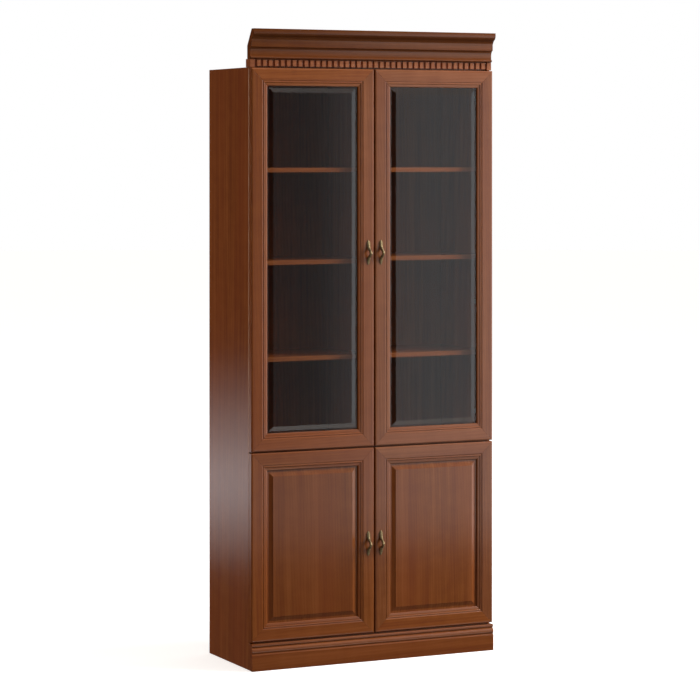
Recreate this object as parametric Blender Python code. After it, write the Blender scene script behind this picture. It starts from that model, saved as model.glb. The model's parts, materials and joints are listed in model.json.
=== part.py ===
"""Display cabinet: two glazed doors above two panelled doors, under a dentil cornice.

Metres, +Z up. X runs across the front from left to right, Y runs from the front to the
back, and Z is zero on the floor. The origin is under the middle of the whole cabinet.
A depth is measured backwards from the front face of the doors, so a negative depth
stands proud of the doors. A reach is measured the other way, forwards.
"""

import math

import bmesh
import bpy
from mathutils import Matrix, Vector

# Whole cabinet
WIDTH = 0.960
SIDE_HEIGHT = 2.117
SIDE_BACK = 0.384
HANDLE_REACH = 0.027
DOOR_FACE_Y = (HANDLE_REACH - SIDE_BACK) / 2
GAP = 0.0003

# Carcass boards
BOARD = 0.016
CARCASS_FRONT = 0.0225
FOOT_FRONT = 0.014
FOOT_HEIGHT = 0.0945
INSET_BACK = 0.3777
BACK_PANEL_FRONT = 0.378
BACK_PANEL_THICKNESS = 0.003
BOTTOM_Z = 0.097
FIXED_SHELF_Z = 0.757
PLINTH_RAIL_FRONT = 0.300
PLINTH_RAIL_HEIGHT = 0.070

# Loose shelves, by the height of each underside
SHELF_FRONT = 0.042
SHELF_SIDE_PLAY = 0.001
UPPER_LEFT_SHELVES = (1.7475, 1.4205, 1.0790)
UPPER_RIGHT_SHELVES = (1.7475, 1.4285, 1.0790)
LOWER_SHELF = 0.4270

# Doors
DOOR_THICKNESS = 0.020
DOOR_GAP = 0.004
DOOR_WIDTH = (WIDTH - DOOR_GAP) / 2
UPPER_DOOR_Z = (0.7675, 2.115)
LOWER_DOOR_Z = (0.100, 0.7625)
MITRE_SETBACK = GAP / 2 * math.sqrt(2)

# Section of a door's frame member: distances in from the door's edge, and depths
MEMBER_WIDTH = 0.063
EDGE_ROUND_WIDTH = 0.007
EDGE_ROUND_DEPTH = 0.0035
FLAT_END = 0.0425
FILLET_DEPTH = 0.0005
COVE_END = 0.0465
COVE_DEPTH = 0.0020
BEAD_END = 0.0520
BEAD_CREST = 0.0006
BEAD_FOOT = 0.0032
OVOLO_START = 0.0525
OVOLO_TOP = 0.0028
OVOLO_DEPTH = 0.0056
LIP_DEPTH = 0.0088
GROOVE_EDGE = 0.053
GROOVE_BACK = 0.0174

# Bevelled glass and raised panel
INSERT_EDGE = GROOVE_EDGE + GAP
INSERT_DEPTH = LIP_DEPTH + GAP
INSERT_MARGIN = 0.070
GLASS_BEVEL_END = 0.086
GLASS_FACE = 0.0055
GLASS_BACK = 0.0121
GASKET_BACK = 0.0195
PANEL_BEVEL_END = 0.084
PANEL_STEP_DEPTH = 0.0036
PANEL_FACE = 0.0028
PANEL_BACK = GROOVE_BACK - GAP

# Concealed hinges
AXIS_INSET = 0.0065
AXIS_DEPTH = 0.0065
CUP_INSET = 0.0215
CUP_RADIUS = 0.0176
CUP_BORE_DEPTH = 0.0122
UPPER_HINGES = {"bottom": 0.867, "middle": 1.270, "top": 2.015}
LOWER_HINGES = {"bottom": 0.201, "top": 0.663}
PLATE_THICKNESS = 0.0025
PLATE_HALF_HEIGHT = 0.024
PLATE_DEPTHS = (0.054, 0.066)
ARM_HALF_HEIGHT = 0.0080
# reach into the cabinet from the side panel, depth
ARM_OUTLINE = (
    (0.0, 0.045),
    (0.0030, 0.0228),
    (0.0125, 0.0228),
    (0.0150, 0.034),
    (0.0130, 0.086),
    (0.0, 0.090),
)

# Handles
HANDLE_INSET = 0.023
UPPER_HANDLE_Z = 1.460
LOWER_HANDLE_Z = 0.420
HANDLE_RINGS = 36
HANDLE_SIDES = 12
# height from the handle's middle, reach of the centre line, width, thickness
HANDLE_STATIONS = (
    (0.0450, 0.0010, 0.0012, 0.0014),
    (0.0380, 0.0017, 0.0112, 0.0027),
    (0.0290, 0.0025, 0.0126, 0.0041),
    (0.0190, 0.0042, 0.0112, 0.0066),
    (0.0122, 0.0085, 0.0080, 0.0092),
    (0.0070, 0.0160, 0.0076, 0.0086),
    (-0.0020, 0.0228, 0.0086, 0.0084),
    (-0.0110, 0.0160, 0.0076, 0.0086),
    (-0.0162, 0.0085, 0.0080, 0.0092),
    (-0.0225, 0.0042, 0.0108, 0.0066),
    (-0.0300, 0.0025, 0.0114, 0.0040),
    (-0.0370, 0.0016, 0.0092, 0.0025),
    (-0.0440, 0.0010, 0.0012, 0.0014),
)

# Cornice: the dentil board stands on the carcass and carries the crown moulding
DENTIL_BOTTOM = SIDE_HEIGHT + GAP
DENTIL_TOP = 2.1462
DENTIL_BACK = 0.049
DENTIL_FIELD = 0.018
TOOTH_FACE = 0.011
DENTIL_GROOVE = 0.030
TOOTH_Z = (2.1210, 2.1432)
TOOTH_COUNT = 42
TOOTH_PITCH = 0.0229
TOOTH_GAP = 0.0089
FIRST_TOOTH_GAP = 0.022
CROWN_BOTTOM = DENTIL_TOP + GAP
CROWN_TOP = 2.2517
CROWN_BACK = 0.0374
BLOCK_LENGTH = 0.040
BLOCK_BACK = 0.090
BLOCK_INSET = 0.180
BLOCK_HEIGHT = 0.066

# Plinth board
PLINTH_BACK = FOOT_FRONT - GAP
PLINTH_TOP = FOOT_HEIGHT

# Corners of a quarter ellipse are joined by this many straight steps
ARC_STEPS = 6


def finish(name, colour, roughness, metallic=0.0, transmission=0.0):
    """A plain surface of one colour, given as linear red, green and blue."""
    surface = bpy.data.materials.new(name)
    surface.use_nodes = True
    shader = surface.node_tree.nodes["Principled BSDF"]
    shader.inputs["Base Color"].default_value = (*colour, 1.0)
    shader.inputs["Roughness"].default_value = roughness
    shader.inputs["Metallic"].default_value = metallic
    shader.inputs["Transmission Weight"].default_value = transmission
    surface.diffuse_color = (*colour, 1.0)
    return surface


def quarter(centre, across, up, start, steps=ARC_STEPS, turn=1):
    """Points on a quarter of an ellipse, from the angle start in degrees, both ends included."""
    points = []
    for step in range(steps + 1):
        angle = math.radians(start + turn * 90 * step / steps)
        points.append((centre[0] + across * math.cos(angle), centre[1] + up * math.sin(angle)))
    return points


def bow(start, end, rise, steps=4):
    """Points on a shallow curve from start up to end. A positive rise bulges forwards."""
    run = Vector(end) - Vector(start)
    forward = Vector((-run.y, run.x)).normalized()
    points = []
    for step in range(steps + 1):
        share = step / steps
        point = Vector(start) + run * share + forward * (4 * rise * share * (1 - share))
        points.append((point.x, point.y))
    return points


def new_object(name, shape, surface):
    """Closes the bmesh into a named object with its faces pointing out."""
    bmesh.ops.remove_doubles(shape, verts=shape.verts, dist=1e-6)
    bmesh.ops.recalc_face_normals(shape, faces=shape.faces)
    mesh = bpy.data.meshes.new(name)
    shape.to_mesh(mesh)
    shape.free()
    mesh.materials.append(surface)
    piece = bpy.data.objects.new(name, mesh)
    bpy.context.scene.collection.objects.link(piece)
    return piece


def loft(name, rings, surface):
    """A solid through rings of corners, each ring with the same number of corners."""
    shape = bmesh.new()
    rows = []
    for ring in rings:
        rows.append([shape.verts.new(corner) for corner in ring])
    for near, far in zip(rows, rows[1:]):
        for i in range(len(near)):
            j = (i + 1) % len(near)
            shape.faces.new((near[i], near[j], far[j], far[i]))
    shape.faces.new(rows[0])
    shape.faces.new(rows[-1])
    return new_object(name, shape, surface)


def board(name, x, depth, z, surface):
    """A square-edged board between two positions on each axis."""
    rings = []
    for height in z:
        ring = [(x[0], depth[0]), (x[1], depth[0]), (x[1], depth[1]), (x[0], depth[1])]
        rings.append([(across, DOOR_FACE_Y + back, height) for across, back in ring])
    return loft(name, rings, surface)


def moulding(name, section, x, surface):
    """A moulding along X, from its section in depth and height."""
    rings = []
    for across in x:
        rings.append([(across, DOOR_FACE_Y + depth, height) for depth, height in section])
    return loft(name, rings, surface)


def cut_or_join(piece, tool, operation):
    """Applies the tool to the piece, and keeps the tool out of the model."""
    modifier = piece.modifiers.new(tool.name, "BOOLEAN")
    modifier.object = tool
    modifier.operation = operation
    modifier.solver = "EXACT"
    tool.hide_render = True
    tool.display_type = "WIRE"


def hang(piece, pivot):
    """Moves the piece's own origin to the pivot and parents it there, without moving the piece."""
    piece.data.transform(Matrix.Translation(-pivot.location))
    piece.parent = pivot


def side_panel(name, hand, wood):
    """A side, from the floor to the cornice, with a foot that reaches forward to the plinth."""
    outline = (
        (FOOT_FRONT, 0.0),
        (SIDE_BACK, 0.0),
        (SIDE_BACK, SIDE_HEIGHT),
        (CARCASS_FRONT, SIDE_HEIGHT),
        (CARCASS_FRONT, FOOT_HEIGHT),
        (FOOT_FRONT, FOOT_HEIGHT),
    )
    outer = hand * WIDTH / 2
    return moulding(name, outline, (outer, outer - hand * BOARD), wood)


def carcass(wood, back_board):
    """The fixed boards between the two sides."""
    side_panel("left_side_panel", -1, wood)
    side_panel("right_side_panel", 1, wood)
    inner = WIDTH / 2 - BOARD - GAP
    between = (-inner, inner)
    depth = (CARCASS_FRONT, INSET_BACK)
    board("bottom_panel", between, depth, (BOTTOM_Z, BOTTOM_Z + BOARD), wood)
    board("fixed_shelf", between, depth, (FIXED_SHELF_Z, FIXED_SHELF_Z + BOARD), wood)
    board("top_panel", between, depth, (SIDE_HEIGHT - BOARD, SIDE_HEIGHT), wood)
    middle = (-BOARD / 2, BOARD / 2)
    lower_z = (BOTTOM_Z + BOARD + GAP, FIXED_SHELF_Z - GAP)
    upper_z = (FIXED_SHELF_Z + BOARD + GAP, SIDE_HEIGHT - BOARD - GAP)
    board("lower_partition", middle, depth, lower_z, wood)
    board("upper_partition", middle, depth, upper_z, wood)
    back_depth = (BACK_PANEL_FRONT, BACK_PANEL_FRONT + BACK_PANEL_THICKNESS)
    board("back_panel", between, back_depth, (BOTTOM_Z, SIDE_HEIGHT), back_board)
    rail_depth = (PLINTH_RAIL_FRONT, PLINTH_RAIL_FRONT + BOARD)
    board("plinth_rail", between, rail_depth, (0.0, PLINTH_RAIL_HEIGHT), wood)


def shelves(wood):
    """Three loose shelves in each upper bay and one in each lower bay."""
    depth = (SHELF_FRONT, INSET_BACK)
    near = BOARD / 2 + SHELF_SIDE_PLAY
    far = WIDTH / 2 - BOARD - SHELF_SIDE_PLAY
    bays = (
        ("upper_left_shelf", (-far, -near), UPPER_LEFT_SHELVES),
        ("upper_right_shelf", (near, far), UPPER_RIGHT_SHELVES),
        ("lower_left_shelf", (-far, -near), (LOWER_SHELF,)),
        ("lower_right_shelf", (near, far), (LOWER_SHELF,)),
    )
    for name, x, heights in bays:
        for number, height in enumerate(heights, start=1):
            board(f"{name}_{number}", x, depth, (height, height + BOARD), wood)


def plinth_board(wood):
    """The board under the doors: a plain face, a torus, a quirk and a bead, from the floor up."""
    section = [(PLINTH_BACK, 0.0), (-0.0075, 0.0), (-0.0075, 0.0560)]
    section += quarter((-0.0060, 0.0560), 0.0015, 0.0015, 180, steps=2, turn=-1)
    section += [(-0.0045, 0.0590), (-0.0045, 0.0615)]
    section += quarter((-0.0030, 0.0700), 0.0045, 0.0085, 270, steps=3, turn=-1)
    section += quarter((-0.0030, 0.0700), 0.0045, 0.0095, 180, steps=4, turn=-1)[1:]
    section += [(-0.0012, 0.0805), (-0.0012, 0.0845), (-0.0025, 0.0845)]
    section += quarter((-0.0025, 0.0892), 0.0025, 0.0047, 270, steps=3, turn=-1)[1:]
    section += quarter((-0.0025, 0.0892), 0.0025, PLINTH_TOP - 0.0892, 180, steps=3, turn=-1)[1:]
    section += [(PLINTH_BACK, PLINTH_TOP)]
    return moulding("plinth_board", section, (-WIDTH / 2, WIDTH / 2), wood)


def crown_moulding(wood):
    """The crown, from below: a bead, a cove, a wide flat, a hollow slope, an ovolo and a fillet."""
    section = [(CROWN_BACK, CROWN_BOTTOM), (0.0105, CROWN_BOTTOM)]
    section += quarter((0.0105, 2.1515), 0.0060, 0.0050, 270, steps=3, turn=-1)
    section += quarter((0.0105, 2.1515), 0.0060, 0.0050, 180, steps=3, turn=-1)[1:]
    section += quarter((-0.0005, 2.1660), 0.0110, 0.0225, 0)
    section += [(-0.0018, 2.1885)]
    section += bow((-0.0018, 2.2105), (-0.0125, 2.2258), -0.0010)
    section += bow((-0.0155, 2.2264), (-0.0238, 2.2400), 0.0016)
    section += [(-0.0238, CROWN_TOP), (-0.0014, CROWN_TOP), (CROWN_BACK, 2.1930)]
    return moulding("cornice_moulding", section, (-WIDTH / 2, WIDTH / 2), wood)


def dentil_board(wood):
    """A board with a row of teeth, a groove below them, a strip above, and a block at each end."""
    corners = {
        "back_bottom": (DENTIL_BACK, DENTIL_BOTTOM),
        "back_top": (DENTIL_BACK, DENTIL_TOP),
        "strip_top": (DENTIL_FIELD, DENTIL_TOP),
        "field_top": (DENTIL_FIELD, TOOTH_Z[1]),
        "tooth_top": (TOOTH_FACE, TOOTH_Z[1]),
        "tooth_bottom": (TOOTH_FACE, TOOTH_Z[0]),
        "field_bottom": (DENTIL_FIELD, TOOTH_Z[0]),
        "groove_top": (DENTIL_GROOVE, TOOTH_Z[0]),
        "groove_bottom": (DENTIL_GROOVE, DENTIL_BOTTOM),
        "block_top": (TOOTH_FACE, DENTIL_TOP),
        "block_bottom": (TOOTH_FACE, DENTIL_BOTTOM),
    }
    above = ["back_bottom", "back_top", "strip_top", "field_top"]
    below = ["field_bottom", "groove_top", "groove_bottom"]
    tooth = above + ["tooth_top", "tooth_bottom"] + below
    gap = above + below
    block = ["back_bottom", "back_top", "strip_top", "block_top", "block_bottom", "groove_bottom"]
    block_side = above[2:] + below + ["block_bottom", "block_top"]
    places = [0.0]
    for number in range(TOOTH_COUNT - 1):
        middle = FIRST_TOOTH_GAP + number * TOOTH_PITCH
        places += [middle - TOOTH_GAP / 2, middle + TOOTH_GAP / 2]
    places.append(WIDTH)

    shape = bmesh.new()
    rows = []
    for place in places:
        row = {}
        for name, (depth, height) in corners.items():
            row[name] = shape.verts.new((place - WIDTH / 2, DOOR_FACE_Y + depth, height))
        rows.append(row)
    outlines = [block] + [gap, tooth] * (TOOTH_COUNT - 2) + [gap, block]
    for outline, near, far in zip(outlines, rows, rows[1:]):
        for a, b in zip(outline, outline[1:] + outline[:1]):
            shape.faces.new((near[a], near[b], far[b], far[a]))
    for row in rows[2:-2]:
        shape.faces.new([row[name] for name in ("tooth_top", "tooth_bottom", "field_bottom", "field_top")])
    for row in (rows[1], rows[-2]):
        shape.faces.new([row[name] for name in block_side])
    for row in (rows[0], rows[-1]):
        shape.faces.new([row[name] for name in block])
    for corner in list(shape.verts):
        if not corner.link_faces:
            shape.verts.remove(corner)
    bmesh.ops.dissolve_limit(
        shape, angle_limit=math.radians(1), verts=shape.verts, edges=shape.edges
    )
    return new_object("dentil_strip", shape, wood)


def cornice_block(name, centre, wood):
    """A glue block behind the crown, on the top panel and the dentil board."""
    bottom = SIDE_HEIGHT + GAP
    behind_board = DENTIL_BACK + GAP
    behind_crown = CROWN_BACK + GAP
    outline = (
        (behind_board, bottom),
        (BLOCK_BACK, bottom),
        (behind_crown, bottom + BLOCK_HEIGHT),
        (behind_crown, DENTIL_TOP + GAP),
        (behind_board, DENTIL_TOP + GAP),
    )
    return moulding(name, outline, (centre - BLOCK_LENGTH / 2, centre + BLOCK_LENGTH / 2), wood)


def member_section(rebated):
    """Outline of a frame member as inset and depth, front first. A rebate is open at the back."""
    outline = [(0.0, DOOR_THICKNESS)]
    edge = (EDGE_ROUND_WIDTH, EDGE_ROUND_DEPTH)
    outline += quarter(edge, *edge, 180, steps=4)
    outline += [(FLAT_END, 0.0), (FLAT_END, FILLET_DEPTH)]
    cove_drop = COVE_DEPTH - FILLET_DEPTH
    outline += quarter((COVE_END, FILLET_DEPTH), COVE_END - FLAT_END, cove_drop, 180, steps=3, turn=-1)[1:]
    crest = (COVE_END + BEAD_END) / 2
    outline += quarter((crest, COVE_DEPTH), crest - COVE_END, COVE_DEPTH - BEAD_CREST, 180, steps=3)[1:]
    outline += quarter((crest, BEAD_FOOT), BEAD_END - crest, BEAD_FOOT - BEAD_CREST, 270, steps=3)[1:]
    ovolo_width = MEMBER_WIDTH - OVOLO_START
    outline += quarter((OVOLO_START, OVOLO_DEPTH), ovolo_width, OVOLO_DEPTH - OVOLO_TOP, 270)
    outline += [(MEMBER_WIDTH, LIP_DEPTH), (GROOVE_EDGE, LIP_DEPTH)]
    if rebated:
        outline += [(GROOVE_EDGE, DOOR_THICKNESS)]
    else:
        outline += [(GROOVE_EDGE, GROOVE_BACK), (MEMBER_WIDTH, GROOVE_BACK), (MEMBER_WIDTH, DOOR_THICKNESS)]
    return outline


def frame_member(name, door, which, wood):
    """One mitred member. door is its outer X, inward direction and lowest and highest Z."""
    outer, inward, low, high = door["outer"], door["inward"], *door["z"]
    near, far = outer, outer + inward * DOOR_WIDTH
    first, last = [], []
    for inset, depth in member_section(door["glazed"]):
        y = DOOR_FACE_Y + depth
        end = inset + MITRE_SETBACK
        if which == "outer_stile":
            first.append((near + inward * inset, y, low + end))
            last.append((near + inward * inset, y, high - end))
        elif which == "inner_stile":
            first.append((far - inward * inset, y, low + end))
            last.append((far - inward * inset, y, high - end))
        elif which == "bottom_rail":
            first.append((near + inward * end, y, low + inset))
            last.append((far - inward * end, y, low + inset))
        else:
            first.append((near + inward * end, y, high - inset))
            last.append((far - inward * end, y, high - inset))
    return loft(name, (first, last), wood)


def bore_cups(stile, door, hinges):
    """Bores a round recess in the back of the stile for each hinge's cup."""
    depth = DOOR_THICKNESS - CUP_BORE_DEPTH
    for where, height in hinges.items():
        shape = bmesh.new()
        bmesh.ops.create_cone(
            shape, cap_ends=True, segments=28, radius1=CUP_RADIUS, radius2=CUP_RADIUS,
            depth=2 * CUP_BORE_DEPTH,
        )
        bmesh.ops.rotate(shape, verts=shape.verts, matrix=Matrix.Rotation(math.pi / 2, 3, "X"))
        centre = Vector((
            door["outer"] + door["inward"] * CUP_INSET,
            DOOR_FACE_Y + depth + CUP_BORE_DEPTH,
            height,
        ))
        bmesh.ops.translate(shape, verts=shape.verts, vec=centre)
        tool = new_object(f"{stile.name}_{where}_bore", shape, stile.data.materials[0])
        cut_or_join(stile, tool, "DIFFERENCE")
        yield tool


def insert(name, door, contour, back, surface):
    """Glass or panel: rectangles at the contour's insets and depths, closed by a flat back."""
    rings = []
    edge = contour[0][0]
    for inset, depth in [(edge, back)] + list(contour):
        low_x = door["outer"] + door["inward"] * inset
        high_x = door["outer"] + door["inward"] * (DOOR_WIDTH - inset)
        low_z, high_z = door["z"][0] + inset, door["z"][1] - inset
        corners = ((low_x, low_z), (high_x, low_z), (high_x, high_z), (low_x, high_z))
        rings.append([(x, DOOR_FACE_Y + depth, z) for x, z in corners])
    return loft(name, rings, surface)


def gasket(name, door, surface):
    """One soft strip pressed into the rebate all round, behind the glass."""
    shape = bmesh.new()
    section = (
        (INSERT_EDGE, GLASS_BACK + GAP),
        (MEMBER_WIDTH, GLASS_BACK + GAP),
        (MEMBER_WIDTH - 0.002, GASKET_BACK),
        (INSERT_EDGE, GASKET_BACK),
    )
    loops = []
    for inset, depth in section:
        low_x = door["outer"] + door["inward"] * inset
        high_x = door["outer"] + door["inward"] * (DOOR_WIDTH - inset)
        low_z, high_z = door["z"][0] + inset, door["z"][1] - inset
        corners = ((low_x, low_z), (high_x, low_z), (high_x, high_z), (low_x, high_z))
        loops.append([shape.verts.new((x, DOOR_FACE_Y + depth, z)) for x, z in corners])
    for here, there in zip(loops, loops[1:] + loops[:1]):
        for i in range(4):
            j = (i + 1) % 4
            shape.faces.new((here[i], here[j], there[j], there[i]))
    return new_object(name, shape, surface)


def through(stations, share):
    """A smooth curve through the stations, at a share of the way from the first to the last."""
    place = share * (len(stations) - 1)
    first = min(int(place), len(stations) - 2)
    t = place - first
    picks = [max(first - 1, 0), first, first + 1, min(first + 2, len(stations) - 1)]
    values = []
    for a, b, c, d in zip(*(stations[pick] for pick in picks)):
        curve = 2 * b + (c - a) * t + (2 * a - 5 * b + 4 * c - d) * t**2 + (3 * b - a - 3 * c + d) * t**3
        values.append(curve / 2)
    return values


def handle(name, x, z, brass):
    """A cast bow handle: two leaves flat on the door and an arch between them."""
    line = []
    for number in range(HANDLE_RINGS + 1):
        line.append(through(HANDLE_STATIONS, number / HANDLE_RINGS))
    rings = []
    for number, (height, reach, width, thickness) in enumerate(line):
        before = line[max(number - 1, 0)]
        after = line[min(number + 1, HANDLE_RINGS)]
        along = Vector((0.0, before[1] - after[1], after[0] - before[0])).normalized()
        outward = Vector((0.0, along.z, -along.y))
        centre = Vector((x, DOOR_FACE_Y - reach, z + height))
        ring = []
        for side in range(HANDLE_SIDES):
            angle = 2 * math.pi * side / HANDLE_SIDES
            across = Vector((width / 2 * math.cos(angle), 0.0, 0.0))
            ring.append(centre + across + outward * (thickness / 2 * math.sin(angle)))
        rings.append(ring)
    piece = loft(name, rings, brass)
    piece.data.shade_smooth()
    return piece


def hinge_arm(name, hand, height, steel):
    """The fixed half of a concealed hinge: a winged plate on the side panel, and its arm."""
    face = hand * (WIDTH / 2 - BOARD - GAP)
    rings = []
    for z in (height - ARM_HALF_HEIGHT, height + ARM_HALF_HEIGHT):
        rings.append([(face - hand * out, DOOR_FACE_Y + depth, z) for out, depth in ARM_OUTLINE])
    arm = loft(name, rings, steel)
    x = (face, face - hand * PLATE_THICKNESS)
    z = (height - PLATE_HALF_HEIGHT, height + PLATE_HALF_HEIGHT)
    plate = board(f"{name}_wings", x, PLATE_DEPTHS, z, steel)
    cut_or_join(arm, plate, "UNION")
    return arm


def door(name, hand, z, hinges, handle_z, surfaces):
    """A door on its own pivot. hand is -1 for a door hinged on the left and 1 on the right."""
    glazed = name.startswith("upper")
    pivot = bpy.data.objects.new(f"{name}_door_pivot", None)
    pivot.location = (hand * (WIDTH / 2 - AXIS_INSET), DOOR_FACE_Y + AXIS_DEPTH, z[0])
    bpy.context.scene.collection.objects.link(pivot)
    layout = {"outer": hand * WIDTH / 2, "inward": -hand, "z": z, "glazed": glazed}
    pieces = []
    for which in ("outer_stile", "inner_stile", "top_rail", "bottom_rail"):
        member = frame_member(f"{name}_{which}", layout, which, surfaces["wood"])
        pieces.append(member)
        if which == "outer_stile":
            pieces += bore_cups(member, layout, hinges)
    if glazed:
        contour = (
            (INSERT_EDGE, INSERT_DEPTH),
            (INSERT_MARGIN, INSERT_DEPTH),
            (GLASS_BEVEL_END, GLASS_FACE),
        )
        pieces.append(insert(f"{name}_glass", layout, contour, GLASS_BACK, surfaces["glass"]))
        pieces.append(gasket(f"{name}_glazing_gasket", layout, surfaces["gasket"]))
    else:
        contour = (
            (INSERT_EDGE, INSERT_DEPTH),
            (INSERT_MARGIN, INSERT_DEPTH),
            (PANEL_BEVEL_END, PANEL_STEP_DEPTH),
            (PANEL_BEVEL_END, PANEL_FACE),
        )
        pieces.append(insert(f"{name}_panel", layout, contour, PANEL_BACK, surfaces["wood"]))
    handle_x = hand * (DOOR_GAP / 2 + HANDLE_INSET)
    pieces.append(handle(f"{name}_handle", handle_x, handle_z, surfaces["brass"]))
    for piece in pieces:
        hang(piece, pivot)
    for where, height in hinges.items():
        hinge_arm(f"{name}_hinge_{where}", hand, height, surfaces["steel"])


def main():
    for leftover in list(bpy.data.objects):
        bpy.data.objects.remove(leftover, do_unlink=True)
    surfaces = {
        "wood": finish("lacquered_cherry", (0.185, 0.066, 0.028), 0.38),
        "back_board": finish("back_board", (0.150, 0.058, 0.028), 0.55),
        "glass": finish("bevelled_glass", (0.90, 0.93, 0.92), 0.05, transmission=0.9),
        "brass": finish("antique_brass", (0.36, 0.25, 0.11), 0.35, metallic=1.0),
        "steel": finish("nickel_plated_steel", (0.62, 0.61, 0.58), 0.30, metallic=1.0),
        "gasket": finish("soft_gasket", (0.10, 0.045, 0.025), 0.60),
    }
    wood = surfaces["wood"]
    carcass(wood, surfaces["back_board"])
    shelves(wood)
    plinth_board(wood)
    crown_moulding(wood)
    dentil_board(wood)
    cornice_block("cornice_block_left", -WIDTH / 2 + BLOCK_INSET, wood)
    cornice_block("cornice_block_right", WIDTH / 2 - BLOCK_INSET, wood)
    for side, hand in (("left", -1), ("right", 1)):
        door(f"upper_{side}", hand, UPPER_DOOR_Z, UPPER_HINGES, UPPER_HANDLE_Z, surfaces)
        door(f"lower_{side}", hand, LOWER_DOOR_Z, LOWER_HINGES, LOWER_HANDLE_Z, surfaces)


main()
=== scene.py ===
# %% [markdown]
# # A display cabinet in lacquered cherry
#
# The cabinet is a plain box of boards with a classical front laid over it: mitred door frames,
# bevelled glass, raised panels, a plinth and a dentil cornice. The boards come ready made and in
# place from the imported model. This lesson gives them their finish, adds the small fittings, and
# sets up the studio that the photograph was made in.

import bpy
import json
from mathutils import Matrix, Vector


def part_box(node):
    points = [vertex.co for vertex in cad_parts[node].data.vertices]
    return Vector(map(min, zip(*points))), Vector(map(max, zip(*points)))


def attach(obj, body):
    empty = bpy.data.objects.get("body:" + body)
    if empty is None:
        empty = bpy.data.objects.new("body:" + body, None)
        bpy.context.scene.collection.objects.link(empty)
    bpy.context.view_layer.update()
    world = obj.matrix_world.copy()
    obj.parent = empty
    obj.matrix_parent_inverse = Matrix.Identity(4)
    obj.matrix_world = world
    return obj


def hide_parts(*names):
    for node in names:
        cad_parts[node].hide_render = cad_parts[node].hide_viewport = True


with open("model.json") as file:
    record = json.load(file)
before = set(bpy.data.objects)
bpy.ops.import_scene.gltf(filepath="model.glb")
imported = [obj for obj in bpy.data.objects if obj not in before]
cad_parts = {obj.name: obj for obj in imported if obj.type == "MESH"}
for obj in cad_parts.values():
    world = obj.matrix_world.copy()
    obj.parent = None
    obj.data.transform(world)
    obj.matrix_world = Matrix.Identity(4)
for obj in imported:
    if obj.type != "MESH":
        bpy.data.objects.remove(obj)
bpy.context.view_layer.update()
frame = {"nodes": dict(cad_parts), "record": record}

# %% Modules
import json
import math

import bmesh
import bpy
from mathutils import Matrix, Vector

nodes = frame["nodes"]
scene = bpy.context.scene

# %% [markdown]
# ## Colours and nodes
#
# A finish chart gives colours as sRGB hex numbers, but light adds up in linear values, so every
# colour passes through one function on its way in. Materials are small networks: one function adds
# a node of any kind and another feeds its inputs. Every finish starts alike, from a shader and the
# piece's own coordinates in metres. Sums, ranges, blends and relief come up so often that each has
# a short function of its own.

# %% Colour and node helpers
def linear(hex_colour):
    """A colour of the finish chart, written as in #894B20, in linear red, green, blue and alpha."""
    values = []
    for i in (1, 3, 5):
        value = int(hex_colour[i:i + 2], 16) / 255
        values.append(value / 12.92 if value <= 0.04045 else ((value + 0.055) / 1.055) ** 2.4)
    return (*values, 1.0)


def feed(tree, node, inputs):
    """Gives inputs of a node their values, or links other nodes' outputs to them."""
    for name, value in inputs.items():
        if isinstance(value, bpy.types.NodeSocket):
            tree.links.new(value, node.inputs[name])
        else:
            node.inputs[name].default_value = value


def add_node(tree, kind, inputs=None, **settings):
    """Adds a node of any kind with its settings, and feeds its inputs."""
    node = tree.nodes.new(kind)
    for name, value in settings.items():
        setattr(node, name, value)
    feed(tree, node, inputs or {})
    return node


def new_finish(name):
    """A material, its nodes, its surface shader and the place on the piece, in metres."""
    material = bpy.data.materials.new(name)
    material.use_nodes = True
    place = add_node(material.node_tree, "ShaderNodeTexCoord")
    shader = material.node_tree.nodes["Principled BSDF"]
    return material, material.node_tree, shader, place.outputs["Object"]


def set_stops(ramp, stops):
    """Gives a colour ramp its stops, as pairs of a place from 0 to 1 and a linear colour."""
    elements = ramp.color_ramp.elements
    while len(elements) < len(stops):
        elements.new(0.5)
    for element, (share, colour) in zip(elements, stops):
        element.position = share
        element.color = colour


def grey(level):
    """A linear grey of the given level, which may be brighter than white."""
    return level, level, level, 1


# %% Sums, ranges, blends and relief
WHOLE = (0.0, 1.0)


def calc(tree, operation, *values, **settings):
    """The result of one sum on numbers and other nodes' outputs."""
    node = add_node(tree, "ShaderNodeMath", dict(enumerate(values)), operation=operation, **settings)
    return node.outputs[0]


def remap(tree, value, before, after=WHOLE, **settings):
    """A value carried from one range into another, each range given by its two ends."""
    ends = {"From Min": before[0], "From Max": before[1], "To Min": after[0], "To Max": after[1]}
    return add_node(tree, "ShaderNodeMapRange", {"Value": value, **ends}, **settings).outputs["Result"]


def blend(tree, share, first, second):
    """A colour between two others, at a share of the way from the first to the second."""
    inputs = {"Factor": share, "A": first, "B": second}
    return add_node(tree, "ShaderNodeMix", inputs, data_type="RGBA").outputs["Result"]


def relief(tree, height, depth, strength):
    """The normal of a surface with bumps of the given depth in metres."""
    inputs = {"Height": height, "Distance": depth, "Strength": strength}
    return add_node(tree, "ShaderNodeBump", inputs).outputs["Normal"]


# %% [markdown]
# ## The camera
#
# The photographer stood well back with a long lens, turned 26 degrees from the cabinet's front at
# eye height, and slid the lens down to keep the uprights upright. A long lens from far away keeps
# the top and the bottom nearly the same width. Sliding the picture plane is what a view camera
# does, and in Blender it is the vertical shift.

# %% Camera
CAMERA_PLACE = (-4.2287, -8.8076, 1.8229)
CAMERA_TURN = math.radians(25.583)
CAMERA_DIP = math.radians(0.221)
LENS_MM = 138.2
SENSOR_MM = 36.0
PHOTO_SIDE = 700
EYE_LEVEL_ROW = 161.4

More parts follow.
